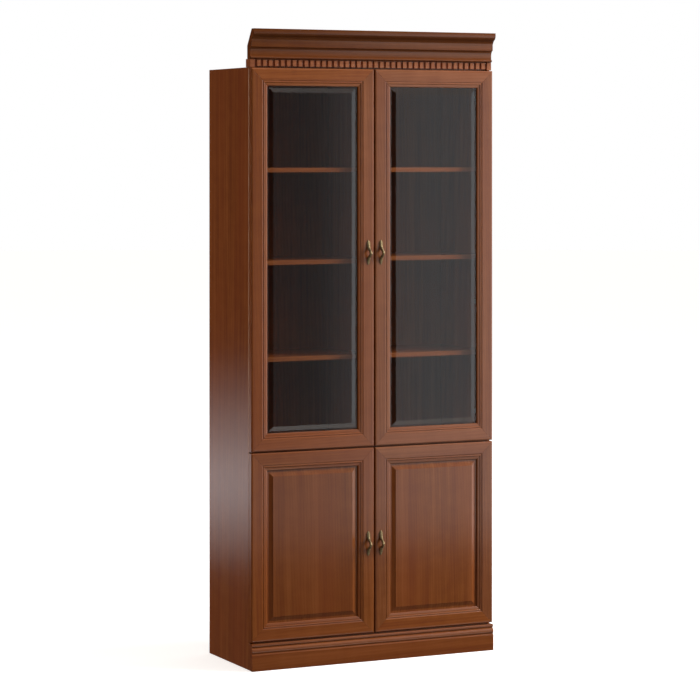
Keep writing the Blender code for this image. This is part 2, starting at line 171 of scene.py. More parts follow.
lens = bpy.data.cameras.new("studio_camera")
lens.lens = LENS_MM
lens.sensor_width = SENSOR_MM
lens.shift_y = (EYE_LEVEL_ROW - PHOTO_SIDE / 2) / PHOTO_SIDE
camera = bpy.data.objects.new("studio_camera", lens)
camera.location = CAMERA_PLACE
camera.rotation_euler = (math.pi / 2 - CAMERA_DIP, 0, -CAMERA_TURN)
scene.collection.objects.link(camera)
scene.camera = camera
print("camera shift:", round(lens.shift_y, 4))

# %% [markdown]
# ## The studio
#
# White studio, pale floor. Polished furniture is lit as much by what it mirrors as by lamps, so
# the room is dark at eye level and bright overhead: a soft dome gives the even light, and white
# cards stand only where a reflection is wanted. The background is white for the camera alone.
# A real floor shows in the polish too, brightest a few metres in front of the cabinet where the
# lamps reach it. The room paints that glow as a band below eye level, seen only by reflections,
# because a real bright floor would also send its light up under every moulding.

# %% Room light
DOME_BRIGHTNESS = 0.65
EYE_LEVEL_BRIGHTNESS = 0.03
DOME_STARTS = 0.10
DOME_FULL = 0.75
FLOOR_IN_MIRRORS = 1.7
# a ray that has met a mirror has a glossy depth above this
ONE_MIRROR = 0.5
# how far a reflection points down, share of the floor's glow
FLOOR_STOPS = (
    (0.0, 0.0),
    (0.20, 0.0),
    (0.30, 0.12),
    (0.40, 0.85),
    (0.46, 1.0),
    (0.52, 0.85),
    (0.60, 0.06),
    (1.0, 0.03),
)

scene.view_settings.view_transform = "Standard"
room = bpy.data.worlds.new("studio_room")
room.use_nodes = True
tree = room.node_tree
tree.nodes.clear()
direction = add_node(tree, "ShaderNodeTexCoord")
height = add_node(tree, "ShaderNodeSeparateXYZ", {0: direction.outputs["Generated"]}).outputs["Z"]
brightness = (EYE_LEVEL_BRIGHTNESS, DOME_BRIGHTNESS)
dome = remap(tree, height, (DOME_STARTS, DOME_FULL), brightness, interpolation_type="SMOOTHSTEP")
ray = add_node(tree, "ShaderNodeLightPath")
near_floor = add_node(tree, "ShaderNodeValToRGB", {0: calc(tree, "MULTIPLY", height, -1.0)})
set_stops(near_floor, [(fall, grey(share)) for fall, share in FLOOR_STOPS])
floor_level = calc(tree, "MULTIPLY", near_floor.outputs["Color"], FLOOR_IN_MIRRORS)
mirrored_floor = calc(tree, "MULTIPLY", floor_level, ray.outputs["Is Glossy Ray"])
level = calc(tree, "ADD", dome, mirrored_floor)
soft_light = add_node(tree, "ShaderNodeBackground", {"Color": linear("#FFFBF6"), "Strength": level})

# %% White background
white_sweep = add_node(tree, "ShaderNodeBackground", {"Color": (1, 1, 1, 1), "Strength": 1.0})
no_mirror = calc(tree, "LESS_THAN", ray.outputs["Glossy Depth"], ONE_MIRROR)
through_glass = calc(tree, "MULTIPLY", ray.outputs["Is Transmission Ray"], no_mirror)
straight = calc(tree, "MAXIMUM", ray.outputs["Is Camera Ray"], through_glass)
seen = add_node(tree, "ShaderNodeMixShader", {
    0: straight, 1: soft_light.outputs[0], 2: white_sweep.outputs[0],
})
add_node(tree, "ShaderNodeOutputWorld", {"Surface": seen.outputs[0]})
scene.world = room
print("studio room made")

# %% [markdown]
# ## The floor
#
# The photographer's floor is a wide roll of white paper. Light from the lamps alone would leave it
# grey, so the paper also glows a little, which keeps it near white and leaves the cabinet's soft
# shadow on it. It lies a hair under the feet, and reflections see the room's band in its place.

# %% Floor
FLOOR_RADIUS = 40.0
FLOOR_DROP = 0.0005
PAPER_FIBRES = 900.0
PAPER_GLOW = 0.55

shape = bmesh.new()
bmesh.ops.create_circle(shape, cap_ends=True, segments=96, radius=FLOOR_RADIUS)
mesh = bpy.data.meshes.new("studio_floor")
shape.to_mesh(mesh)
shape.free()
floor = bpy.data.objects.new("studio_floor", mesh)
scene.collection.objects.link(floor)
floor.location.z = -FLOOR_DROP
paper, tree, surface, place = new_finish("white_paper_sweep")
fibre = add_node(tree, "ShaderNodeTexNoise", {"Vector": place, "Scale": PAPER_FIBRES})
feed(tree, surface, {
    "Base Color": remap(tree, fibre.outputs["Fac"], WHOLE, (0.86, 0.92)),
    "Roughness": 0.9,
    "Specular IOR Level": 0.0,
    "Emission Color": (1, 1, 1, 1),
    "Emission Strength": PAPER_GLOW,
})
ray = add_node(tree, "ShaderNodeLightPath")
mirrored = calc(tree, "GREATER_THAN", ray.outputs["Glossy Depth"], ONE_MIRROR)
dark = add_node(tree, "ShaderNodeEmission", {"Strength": EYE_LEVEL_BRIGHTNESS})
floor_seen = add_node(tree, "ShaderNodeMixShader", {
    0: mirrored, 1: surface.outputs[0], 2: dark.outputs[0],
})
feed(tree, tree.nodes["Material Output"], {"Surface": floor_seen.outputs[0]})
mesh.materials.append(paper)
floor.visible_glossy = False
floor.visible_diffuse = False
print("floor made")

# %% [markdown]
# ## Lamps and cards
#
# One large soft lamp high on the right is the key, and a weak warm one stands behind on the left.
# The rest of the shading on lacquer and glass is reflection. A mirror sends the camera's line of
# sight back at the same angle, so each card stands where the doors, the glass bevels, the left
# side or the moulded edges look for it, and its brightness changes across it as the photograph's
# reflections do. A room with windows could do the same, but cards can be set one by one.

# %% Softboxes
def softbox(name, place, target, size, power, colour="#FFFFFF"):
    """A flat lamp of the given width and height, facing its target."""
    light = bpy.data.lights.new(name, "AREA")
    light.shape = "RECTANGLE"
    light.size, light.size_y = size
    light.energy = power
    light.color = linear(colour)[:3]
    lamp = bpy.data.objects.new(name, light)
    lamp.location = place
    lamp.rotation_euler = (Vector(target) - Vector(place)).to_track_quat("-Z", "Y").to_euler()
    lamp.visible_camera = False
    scene.collection.objects.link(lamp)
    return lamp


# %% Graded cards
def graded_card(name, place, turn, size, glow_colour, brightest, stops, upward):
    """A glowing card whose brightness changes across it, or upward, from stop to stop."""
    card_mesh = bpy.data.meshes.new(name)
    half_wide, half_high = size[0] / 2, size[1] / 2
    corners = [(-half_wide, 0, -half_high), (half_wide, 0, -half_high),
               (half_wide, 0, half_high), (-half_wide, 0, half_high)]
    card_mesh.from_pydata(corners, [], [(0, 1, 2, 3)])
    card = bpy.data.objects.new(name, card_mesh)
    card.location = place
    card.rotation_euler.z = math.radians(turn)
    glow = bpy.data.materials.new(name)
    glow.use_nodes = True
    tree = glow.node_tree
    tree.nodes.clear()
    place_on = add_node(tree, "ShaderNodeTexCoord")
    axes = add_node(tree, "ShaderNodeSeparateXYZ", {0: place_on.outputs["Generated"]})
    ramp = add_node(tree, "ShaderNodeValToRGB", {0: axes.outputs["Z" if upward else "X"]})
    red, green, blue, _ = linear(glow_colour)
    set_stops(ramp, [(share, (level * red, level * green, level * blue, 1)) for share, level in stops])
    lamp = add_node(tree, "ShaderNodeEmission", {"Color": ramp.outputs["Color"], "Strength": brightest})
    add_node(tree, "ShaderNodeOutputMaterial", {"Surface": lamp.outputs[0]})
    card_mesh.materials.append(glow)
    scene.collection.objects.link(card)
    card.visible_camera = False
    card.visible_shadow = False
    card.visible_transmission = False
    return card


# %% Lamps and cards in place
# share of the way across or up a card, brightness there
DOOR_CARD_STOPS = (
    (0.0, 0.22),
    (0.145, 0.24),
    (0.206, 0.36),
    (0.278, 0.88),
    (0.363, 1.14),
    (0.484, 1.20),
    (0.62, 1.25),
    (0.74, 1.9),
    (1.0, 2.0),
)
LOW_CARD_STOPS = (
    (0.0, 0.66),
    (0.145, 0.68),
    (0.206, 0.78),
    (0.278, 1.18),
    (0.363, 1.42),
    (0.484, 1.38),
    (1.0, 2.0),
)
EVEN_STOPS = ((0.0, 1.0), (1.0, 1.0))
SIDE_CARD_STOPS = ((0.0, 0.10), (0.33, 1.0), (0.44, 1.0), (0.58, 0.60), (0.80, 0.20), (1.0, 0.0))
MIDDLE_HEIGHT = 1.1
CARD_WALL_Y = -2.78
COOL_CARD = "#F6FBFD"
WARM_CARD = "#FFFBF9"

softbox("key_softbox", (6.6, -3.1, 4.7), (0.0, -0.1, MIDDLE_HEIGHT), (4.2, 4.2), 820.0)
softbox("left_softbox", (-4.2, 1.2, 1.6), (-0.48, 0.0, MIDDLE_HEIGHT), (0.6, 2.6), 46.0, "#FFE3C2")
graded_card("top_bevel_card", (1.55, CARD_WALL_Y, 3.35), 0, (1.9, 0.7), "#FFF8F2", 1.15, EVEN_STOPS, False)
graded_card("door_card", (2.1, CARD_WALL_Y, 1.12), 0, (3.8, 2.25), COOL_CARD, 1.0, DOOR_CARD_STOPS, False)
low_place = (2.1, CARD_WALL_Y + 0.02, 0.235)
graded_card("low_card", low_place, 0, (3.8, 0.43), COOL_CARD, 1.0, LOW_CARD_STOPS, False)
right_card = graded_card("right_card", (2.6, -0.3, 1.2), 90, (2.2, 2.3), WARM_CARD, 2.2, EVEN_STOPS, False)
right_card.visible_diffuse = False
graded_card("side_card", (-1.7, 2.3, 0.44), 27, (2.4, 1.0), "#F6FAFF", 1.28, SIDE_CARD_STOPS, True)

# %% [markdown]
# ## Lacquered cherry veneer
#
# The boards are furniture board faced with real cherry veneer, stained red brown and sprayed with
# a satin lacquer. Veneer shows growth rings cut at a slant, long fibre streaks and fine pores. It
# could be a picture of wood, but a solid pattern of rings round a distant pith follows every
# moulding for free. A real ring is 2 to 4 mm wide and a real pore 0.1 mm, too fine for a picture of
# the whole cabinet, so both are drawn as coarse as they need to be to show at all.

# %% Veneer pattern
# widths across the grain and lengths along it, in metres
RING_SPACING = 0.011
PITH_OFFSET = (0.31, 0.14)
PITH_LEAN = 0.035
BEND_SIZE = (0.28, 1.3)
BEND_REACH = (0.07, 0.07, 0.0)
BAND_SIZE = (0.024, 1.1)
STREAK_SIZE = (0.007, 0.40)
FIBRE_SIZE = (0.0022, 0.12)
MOTTLE_SIZE = (0.07, 0.05)
PORE_SIZE = (0.0006, 0.007)
FLUSH_SIZE = (0.16, 1.1)


def noise(tree, place, size, detail, rough=0.5, output="Fac"):
    """Noise whose grains measure size in metres, across and along the grain."""
    scale = (1 / size[0], 1 / size[0], 1 / size[1])
    stretched = add_node(tree, "ShaderNodeVectorMath", {0: place, 1: scale}, operation="MULTIPLY")
    inputs = {"Vector": stretched.outputs[0], "Scale": 1.0, "Detail": detail, "Roughness": rough}
    return add_node(tree, "ShaderNodeTexNoise", inputs).outputs[output]


veneer = bpy.data.node_groups.new("cherry_veneer", "ShaderNodeTree")
for label, direction_of, kind in (
    ("Place", "INPUT", "NodeSocketVector"),
    ("Colour", "OUTPUT", "NodeSocketColor"),
    ("Figure", "OUTPUT", "NodeSocketFloat"),
    ("Height", "OUTPUT", "NodeSocketFloat"),
):
    veneer.interface.new_socket(label, in_out=direction_of, socket_type=kind)
incoming = add_node(veneer, "NodeGroupInput")
place = incoming.outputs["Place"]

# %% Growth rings
drift = noise(veneer, place, BEND_SIZE, 3.0, output="Color")
sway = add_node(veneer, "ShaderNodeVectorMath", {0: drift, 1: BEND_REACH}, operation="MULTIPLY")
bent = add_node(veneer, "ShaderNodeVectorMath", {0: place, 1: sway.outputs[0]}, operation="ADD")
axes = add_node(veneer, "ShaderNodeSeparateXYZ", {0: bent.outputs[0]})
lean = calc(veneer, "MULTIPLY_ADD", axes.outputs["Z"], PITH_LEAN, PITH_OFFSET[0])
across = calc(veneer, "ADD", axes.outputs["X"], lean)
inward = calc(veneer, "ADD", axes.outputs["Y"], PITH_OFFSET[1])
radial = add_node(veneer, "ShaderNodeCombineXYZ", {0: across, 1: inward})
radius = add_node(veneer, "ShaderNodeVectorMath", {0: radial.outputs[0]}, operation="LENGTH")
rings = calc(veneer, "DIVIDE", radius.outputs["Value"], RING_SPACING)
late_wood = add_node(veneer, "ShaderNodeFloatCurve", {"Value": calc(veneer, "FRACT", rings)})
curve = late_wood.mapping.curves[0]
curve.points[0].location = (0.0, 0.55)
curve.points[1].location = (1.0, 0.5)
curve.points.new(0.12, 0.1)
curve.points.new(0.55, 0.3)
curve.points.new(0.93, 1.0)
late_wood.mapping.update()
print("rings every", RING_SPACING * 1000, "mm")

# %% Bands, streaks, fibres and pores
bands = noise(veneer, place, BAND_SIZE, 3.0)
streaks = noise(veneer, place, STREAK_SIZE, 3.0)
fibres = noise(veneer, place, FIBRE_SIZE, 2.0)
mottle = noise(veneer, place, MOTTLE_SIZE, 2.0)
pore_noise = noise(veneer, place, PORE_SIZE, 1.0)
pores = remap(veneer, pore_noise, (0.62, 0.72), interpolation_type="SMOOTHSTEP")
print("finest pattern:", PORE_SIZE[0] * 1000, "mm across the grain")

# %% Light and dark
# each pattern's share of the shade, which comes to about one half
shade = None
for source, share in (
    (bands, 0.50),
    (streaks, 0.22),
    (late_wood.outputs["Value"], -0.06),
    (mottle, 0.16),
    (fibres, 0.16),
    (pores, -0.10),
):
    part = calc(veneer, "MULTIPLY", source, share)
    shade = part if shade is None else calc(veneer, "ADD", shade, part)

# %% Stain colours
stain = add_node(veneer, "ShaderNodeValToRGB", {0: shade})
set_stops(stain, [(0.36, linear("#763C1B")), (0.50, linear("#894B20")), (0.66, linear("#9B592D"))])
flush = noise(veneer, place, FLUSH_SIZE, 2.0)
redder = remap(veneer, flush, (0.35, 0.65), (0.0, 0.5))
add_node(veneer, "NodeGroupOutput", {
    "Colour": blend(veneer, redder, stain.outputs["Color"], linear("#8B4520")),
    "Figure": shade,
    "Height": calc(veneer, "SUBTRACT", fibres, pores),
})
print("veneer pattern:", len(veneer.nodes), "nodes")

# %% [markdown]
# ## Stain and lacquer
#
# One pattern serves every board. Each board adds its own offset, so that no two show the same
# leaf of veneer, and its own tone and warmth, which set it lighter, darker or less red. Rails and
# shelves have their grain lying down, so they use the same finish turned by a quarter. The lacquer
# is a separate clear coat, smoother than the wood under it, and only its fine bumps follow the
# pores. A glossy base could do without the coat, but then dull wood couldn't show a clear mirror.

# %% Cherry in both grain directions
LACQUER_ROUGHNESS = 0.16
LACQUER_IOR = 1.5
PORE_DEPTH = 0.00006


def lacquered_cherry(name, turn):
    """Cherry veneer under satin lacquer, its grain turned from upright by a rotation in degrees."""
    material, tree, surface, place = new_finish(name)
    leaf, tone, warmth = (
        add_node(tree, "ShaderNodeAttribute", attribute_type="OBJECT", attribute_name=word)
        for word in ("leaf", "tone", "warmth")
    )
    cut = add_node(tree, "ShaderNodeVectorMath", {0: place, 1: leaf.outputs["Vector"]})
    along_grain = add_node(tree, "ShaderNodeMapping", {
        "Vector": cut.outputs[0], "Rotation": [math.radians(angle) for angle in turn],
    })
    pattern = add_node(tree, "ShaderNodeGroup", {"Place": along_grain.outputs[0]}, node_tree=veneer)
    toned = add_node(tree, "ShaderNodeHueSaturation", {
        "Color": pattern.outputs["Colour"],
        "Saturation": warmth.outputs["Fac"],
        "Value": tone.outputs["Fac"],
    })
    grain = relief(tree, pattern.outputs["Height"], PORE_DEPTH, 0.6)
    feed(tree, surface, {
        "Base Color": toned.outputs["Color"],
        "Roughness": remap(tree, pattern.outputs["Figure"], WHOLE, (0.62, 0.42)),
        "Normal": grain,
        "Coat Normal": grain,
        "Specular IOR Level": 0.0,
        "Coat Weight": 1.0,
        "Coat Roughness": LACQUER_ROUGHNESS,
        "Coat IOR": LACQUER_IOR,
    })
    return material


cherry_upright = lacquered_cherry("lacquered_cherry_upright", (0, 0, 0))
cherry_level = lacquered_cherry("lacquered_cherry_level", (0, 90, 0))
print("cherry made")

# %% [markdown]
# ## Boards
#
# A board sawn dead square looks like a drawing. Each real edge is eased with a pass of fine paper
# so that the lacquer holds on it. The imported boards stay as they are: modifiers join their
# triangles, round the edges by a fraction of a millimetre and shade flat faces flat.

# %% Joined faces and creases
def geometry_group(name):
    """A group of nodes that takes a mesh in and gives one out."""
    group = bpy.data.node_groups.new(name, "GeometryNodeTree")
    for way in ("INPUT", "OUTPUT"):
        group.interface.new_socket("Geometry", in_out=way, socket_type="NodeSocketGeometry")
    return group


tidy = geometry_group("joined_faces")
packed = add_node(tidy, "NodeGroupInput")
plain = add_node(tidy, "GeometryNodeRemoveAttribute", {
    "Geometry": packed.outputs[0], "Name": "custom_normal",
})
joined = add_node(tidy, "GeometryNodeMergeByDistance", {
    "Geometry": plain.outputs[0], "Distance": 1e-5,
})
smooth = add_node(tidy, "GeometryNodeSetShadeSmooth", {"Geometry": joined.outputs[0]})
unsharp = add_node(tidy, "GeometryNodeSetShadeSmooth", {"Geometry": smooth.outputs[0]}, domain="EDGE")
add_node(tidy, "NodeGroupOutput", {0: unsharp.outputs[0]})

creases = geometry_group("sharp_creases")
least_angle = creases.interface.new_socket("Least Angle", in_out="INPUT", socket_type="NodeSocketFloat")
bevelled = add_node(creases, "NodeGroupInput")
angle = add_node(creases, "GeometryNodeInputMeshEdgeAngle")
sharp = add_node(creases, "FunctionNodeCompare", {
    "A": angle.outputs["Unsigned Angle"], "B": bevelled.outputs["Least Angle"],
}, operation="GREATER_THAN")
split = add_node(creases, "GeometryNodeSetShadeSmooth", {
    "Geometry": bevelled.outputs[0], "Selection": sharp.outputs[0], "Shade Smooth": False,
}, domain="EDGE")
add_node(creases, "NodeGroupOutput", {0: split.outputs[0]})
print("node groups:", tidy.name, creases.name)

# %% Eased edges
EASE = 0.0006
EASED_ABOVE = 35
SAME_FACE = 0.5
EDGE_CREASE = 40


def dress(piece, finish):
    """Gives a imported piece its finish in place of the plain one."""
    piece.data.materials.clear()
    piece.data.materials.append(finish)


def choose_leaf(piece, leaf, tone=1.0, warmth=1.0):
    """Gives a piece its own leaf of veneer: an offset in metres, a tone and a warmth."""
    piece["leaf"] = leaf
    piece["tone"] = tone
    piece["warmth"] = warmth


def round_edges(piece, width, above=EASED_ABOVE):
    """Rounds the edges where the faces bend by more than an angle in degrees."""
    ease = piece.modifiers.new("eased_edges", "BEVEL")
    ease.width = width
    ease.segments = 2
    ease.limit_method = "ANGLE"
    ease.angle_limit = math.radians(above)
    return ease


def ease_edges(piece, width, crease=EDGE_CREASE):
    """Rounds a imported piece's edges, and keeps bends over the crease's angle in degrees sharp."""
    piece.modifiers.new("joined_faces", "NODES").node_group = tidy
    flat = piece.modifiers.new("whole_faces", "DECIMATE")
    flat.decimate_type = "DISSOLVE"
    flat.angle_limit = math.radians(SAME_FACE)
    round_edges(piece, width).miter_outer = "MITER_ARC"
    split = piece.modifiers.new("sharp_creases", "NODES")
    split.node_group = creases
    split[least_angle.identifier] = math.radians(crease)
    even = piece.modifiers.new("even_shading", "WEIGHTED_NORMAL")
    even.keep_sharp = True


# %% [markdown]
# ## Choosing the leaves
#
# A cabinet maker sorts the veneer before it is pressed, but no two leaves match, so each board
# starts at its own place in the pattern. Some boards are also set apart in tone: the rails over
# the glass a shade lighter, the crown and the raised panels darker, and the frames on the right
# less red. One finish with a tone and a warmth for each board says that more simply than a finish
# for each board. The side panels' edges are rounder than the rest.

# %% Boards dressed
LEVEL_WORDS = ("top_panel", "bottom_panel", "shelf", "rail", "plinth", "cornice", "dentil")
PANEL_CREASE = 15
EDGE_EASE = {"left_side_panel": 0.0016, "right_side_panel": 0.0016}
# metres from one board's leaf to the next, and the span that the leaves are cut from
LEAF_STEP = (0.37, 0.23, 0.61)
LEAF_SPAN = (1.9, 0.17, 2.3)
# how far the tones swing, and their turn in radians from one board to the next
TONE_SWING = 0.03
TONE_TURN = 2.4
# brightness of a board against the rest
BOARD_TONES = {
    "upper_left_top_rail": 1.18,
    "upper_right_top_rail": 1.16,
    "upper_left_inner_stile": 0.97,
    "upper_right_inner_stile": 0.97,
    "upper_right_outer_stile": 0.95,
    "upper_right_bottom_rail": 0.94,
    "lower_left_inner_stile": 0.90,
    "lower_left_panel": 0.84,
    "lower_right_inner_stile": 0.92,
    "lower_right_outer_stile": 0.88,
    "lower_right_top_rail": 0.92,
    "lower_right_panel": 0.89,
    "plinth_board": 0.92,
    "cornice_moulding": 0.64,
    "dentil_strip": 1.38,
}
# strength of a board's colour against the rest
BOARD_WARMTHS = {
    "cornice_moulding": 1.03,
    "dentil_strip": 0.93,
    "upper_right_top_rail": 0.94,
    "upper_left_inner_stile": 0.98,
    "upper_right_inner_stile": 0.95,
    "upper_right_outer_stile": 0.94,
    "upper_right_bottom_rail": 0.96,
    "lower_right_outer_stile": 0.95,
    "lower_right_top_rail": 0.96,
    "lower_right_inner_stile": 0.97,
}
slots = {part["node"]: part["material_slot"] for part in frame["record"]["subparts"]}
wooden = sorted(name for name, slot in slots.items() if slot == "cherry_wood")
for number, name in enumerate(wooden):
    piece = nodes[name]
    level = any(word in name for word in LEVEL_WORDS)
    leaf = [step * number % span for step, span in zip(LEAF_STEP, LEAF_SPAN)]
    tone = BOARD_TONES.get(name, 1.0) + TONE_SWING * math.sin(TONE_TURN * number)
    choose_leaf(piece, leaf, tone, BOARD_WARMTHS.get(name, 1.0))
    dress(piece, cherry_level if level else cherry_upright)
    crease = PANEL_CREASE if name.endswith("_panel") else EDGE_CREASE
    ease_edges(piece, EDGE_EASE.get(name, EASE), crease)
print("wooden pieces dressed:", len(wooden))

# %% [markdown]
# ## The back board
#
# The back is a thin sheet of hardboard. The face that shows inside the cabinet carries the same
# cherry veneer, and the face towards the wall is left raw: pressed brown fibre with a fine fleck.
# Two sheets could be drawn, but it is one, so the material looks at which way each face points.

# %% Veneered hardboard
FLECK_SIZE = 0.0016
CLOUD_SIZE = 0.09
SHEET_EASE = 0.0003
# a face whose normal has a y below this looks towards the doors
FACES_DOOR = -0.5

back_board = lacquered_cherry("cherry_veneered_hardboard", (0, 0, 0))
tree = back_board.node_tree
surface = tree.nodes["Principled BSDF"]
place = add_node(tree, "ShaderNodeTexCoord")
facing = add_node(tree, "ShaderNodeSeparateXYZ", {0: place.outputs["Normal"]})
raw_side = calc(tree, "GREATER_THAN", facing.outputs["Y"], FACES_DOOR)
flecks = noise(tree, place.outputs["Object"], (FLECK_SIZE, FLECK_SIZE), 4.0, 0.7)
cloud = noise(tree, place.outputs["Object"], (CLOUD_SIZE, CLOUD_SIZE), 3.0)
pressed = blend(tree, flecks, linear("#6B4B30"), linear("#A07C57"))
fibreboard = blend(tree, cloud, pressed, linear("#8A6645"))
veneered = surface.inputs["Base Color"].links[0].from_socket
feed(tree, surface, {
    "Base Color": blend(tree, raw_side, veneered, fibreboard),
    "Coat Weight": calc(tree, "SUBTRACT", 1.0, raw_side),
})

panel = nodes["back_panel"]
choose_leaf(panel, (0.4, 0.05, 0.2), tone=0.96)
dress(panel, back_board)
ease_edges(panel, SHEET_EASE)
print("back board dressed")

# %% [markdown]
# ## Bevelled glass
#
# Each glazed door holds one sheet of float glass whose border is ground to a slope and polished
# again. Its solid is whole, so light bends at both faces as in the real sheet and the slope shows
# at the border. Lamps shine straight through it, which spares the grainy light that bent rays
# would make inside. Float glass has an index near 1.5. Its faces wave by a few thousandths of a
# millimetre from the melt, which a mirror image shows and a look through the sheet doesn't.

# %% Clear glass
GLAZED_DOORS = ("upper_left", "upper_right")
GLASS_IOR = 1.50
GLASS_EASE = 0.0003
GLASS_CREASE = 7
WAVE_SIZE = (0.09, 0.27)
WAVE_HEIGHT = 0.000006
SMEAR_SIZE = (0.03, 0.05)
SMEAR_ROUGHNESS = 0.03

clear_glass, tree, surface, place = new_finish("polished_float_glass")
wave = noise(tree, place, WAVE_SIZE, 0.0)
smears = noise(tree, place, SMEAR_SIZE, 3.0)
feed(tree, surface, {
    "Base Color": linear("#F6FAF8"),
    "Roughness": remap(tree, smears, (0.4, 0.8), (0.0, SMEAR_ROUGHNESS)),
    "Normal": relief(tree, wave, WAVE_HEIGHT, 1.0),
    "Transmission Weight": 1.0,
    "IOR": GLASS_IOR,
})

for door in GLAZED_DOORS:
    sheet = nodes[f"{door}_glass"]
    dress(sheet, clear_glass)
    ease_edges(sheet, GLASS_EASE, GLASS_CREASE)
    sheet.visible_shadow = False
    sheet.visible_diffuse = False
print("glass dressed")

# %% [markdown]
# ## Soft glazing strip
#
# The glass is pushed into its rebate from behind and held there by a strip of soft brown plastic,
# pressed out through a die. Such plastic is dark and half dull, with a faint bloom where oil has
# come to its surface, and one patchy noise gives both the colour and the gloss of that bloom.

# %% Glazing strip
BLOOM_SIZE = 0.012
STRIP_EASE = 0.0004

soft_strip, tree, surface, place = new_finish("moulded_brown_pvc_strip")
bloom = noise(tree, place, (BLOOM_SIZE, BLOOM_SIZE), 3.0)
feed(tree, surface, {
    "Base Color": blend(tree, bloom, linear("#2A1B13"), linear("#3A281C")),
    "Roughness": remap(tree, bloom, WHOLE, (0.42, 0.62)),
})
for door in GLAZED_DOORS:
    strip = nodes[f"{door}_glazing_gasket"]
    dress(strip, soft_strip)
    ease_edges(strip, STRIP_EASE)
print("glazing strips dressed")

# %% [markdown]
# ## Building meshes from rings
#
# Turned screws, pressed cups and cast handles are all rings of points, one after another, with a
# skin between them. Blender could turn or extrude each kind with its own tool. One function that
# joins rings makes them all, and it closes both ends, so every fitting is a solid body.

# %% Rings to solids
def add_rings(shape, rings):
    """Adds a closed body to a bmesh: a skin over the rings, in order, and a cap on each end."""
    rows = [[shape.verts.new(point) for point in ring] for ring in rings]
    for row, following in zip(rows, rows[1:]):
        for i in range(len(row)):
            j = (i + 1) % len(row)
            shape.faces.new((row[i], row[j], following[j], following[i]))
    shape.faces.new(reversed(rows[0]))
    shape.faces.new(rows[-1])


def lathe(profile, place, axis, sides=24):
    """Rings of a turned piece. The profile holds pairs: radius, distance along the axis."""
    upright = Vector(axis).to_track_quat("Z", "Y").to_matrix()
    rings = []
    for radius, along in profile:
        ring = []
        for side in range(sides):
            angle = 2 * math.pi * side / sides
            reach = radius(angle) if callable(radius) else radius
            local = Vector((reach * math.cos(angle), reach * math.sin(angle), along))
            ring.append(Vector(place) + upright @ local)
        rings.append(ring)
    return rings


def make_piece(name, solids, material, body, smooth_below=35):
    """Makes solids, each a list of rings, into one object that rides on a body."""
    shape = bmesh.new()
    for rings in solids:
        add_rings(shape, rings)
    bmesh.ops.recalc_face_normals(shape, faces=shape.faces)
    mesh = bpy.data.meshes.new(name)
    shape.to_mesh(mesh)
    shape.free()
    mesh.shade_smooth()
    mesh.set_sharp_from_angle(angle=math.radians(smooth_below))
    mesh.materials.append(material)
    piece = bpy.data.objects.new(name, mesh)
    scene.collection.objects.link(piece)
    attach(piece, body)
    return piece


# %% [markdown]
# ## The rail behind the plinth
#
# The moulded plinth board stands a little in front of the bottom panel. A plain rail of the same
# furniture board fills the slot behind it and carries the panel's front edge, or an open door
# would show the floor under the cabinet. Its place follows from the boards that it touches.

# %% Front rail of the plinth
BOARD_GAP = 0.0003

low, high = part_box("bottom_panel")
rail_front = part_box("plinth_board")[1][1] + BOARD_GAP
rail_back = rail_front + high[2] - low[2]
rail_top = low[2] - BOARD_GAP
section = ((rail_front, 0), (rail_back, 0), (rail_back, rail_top), (rail_front, rail_top))
ends = [[(x, y, z) for y, z in section] for x in (low[0], high[0])]
rail = make_piece("plinth_front_rail", [ends], cherry_level, "cabinet")
choose_leaf(rail, (0.9, 0.11, 0.7), tone=0.95)
ease_edges(rail, EASE)
print("front rail stands", round(rail_top * 1000, 1), "mm tall")

# %% [markdown]
# ## Antique brass
#
# The handles are lost wax castings in brass, darkened in a sulphur bath and then rubbed back, so
# the high places are bright and the hollows stay brown. A pointiness node could find the hollows,
# but it depends on the mesh. The casting's own relief is known, so each point carries its recess
# as an attribute, and the patina follows that.

# %% Antique brass finish
RUB_SIZE = (0.004, 0.007)
GRIT_SIZE = 0.0005
GRIT_DEPTH = 0.00002

antique_brass, tree, surface, place = new_finish("antique_cast_brass")
recess = add_node(tree, "ShaderNodeAttribute", attribute_name="recess")
smear = noise(tree, place, RUB_SIZE, 3.0)
grit = noise(tree, place, (GRIT_SIZE, GRIT_SIZE), 2.0)
uneven = remap(tree, smear, (0.35, 0.7), (-0.12, 0.3))
patina = calc(tree, "ADD", recess.outputs["Fac"], uneven, use_clamp=True)
feed(tree, surface, {
    "Base Color": blend(tree, patina, linear("#8A7757"), linear("#5A4D36")),
    "Roughness": remap(tree, patina, WHOLE, (0.46, 0.66)),
    "Normal": relief(tree, grit, GRIT_DEPTH, 0.8),
    "Metallic": 1.0,
})
print("brass made")

# %% [markdown]
# ## Bow handles
#
# A handle is an acanthus leaf over an arch over a smaller leaf, about 89 mm tall. It could be
# sculpted, but a casting this small reads by its outline: the leaf's scalloped edge, a raised
# midrib with slanted veins, a collar where each leaf turns into the arch, and a turned knop with
# a ring on each side at the arch's crest. So a curve through a few stations gives the centre line
# and the section, and four small formulas add those forms.

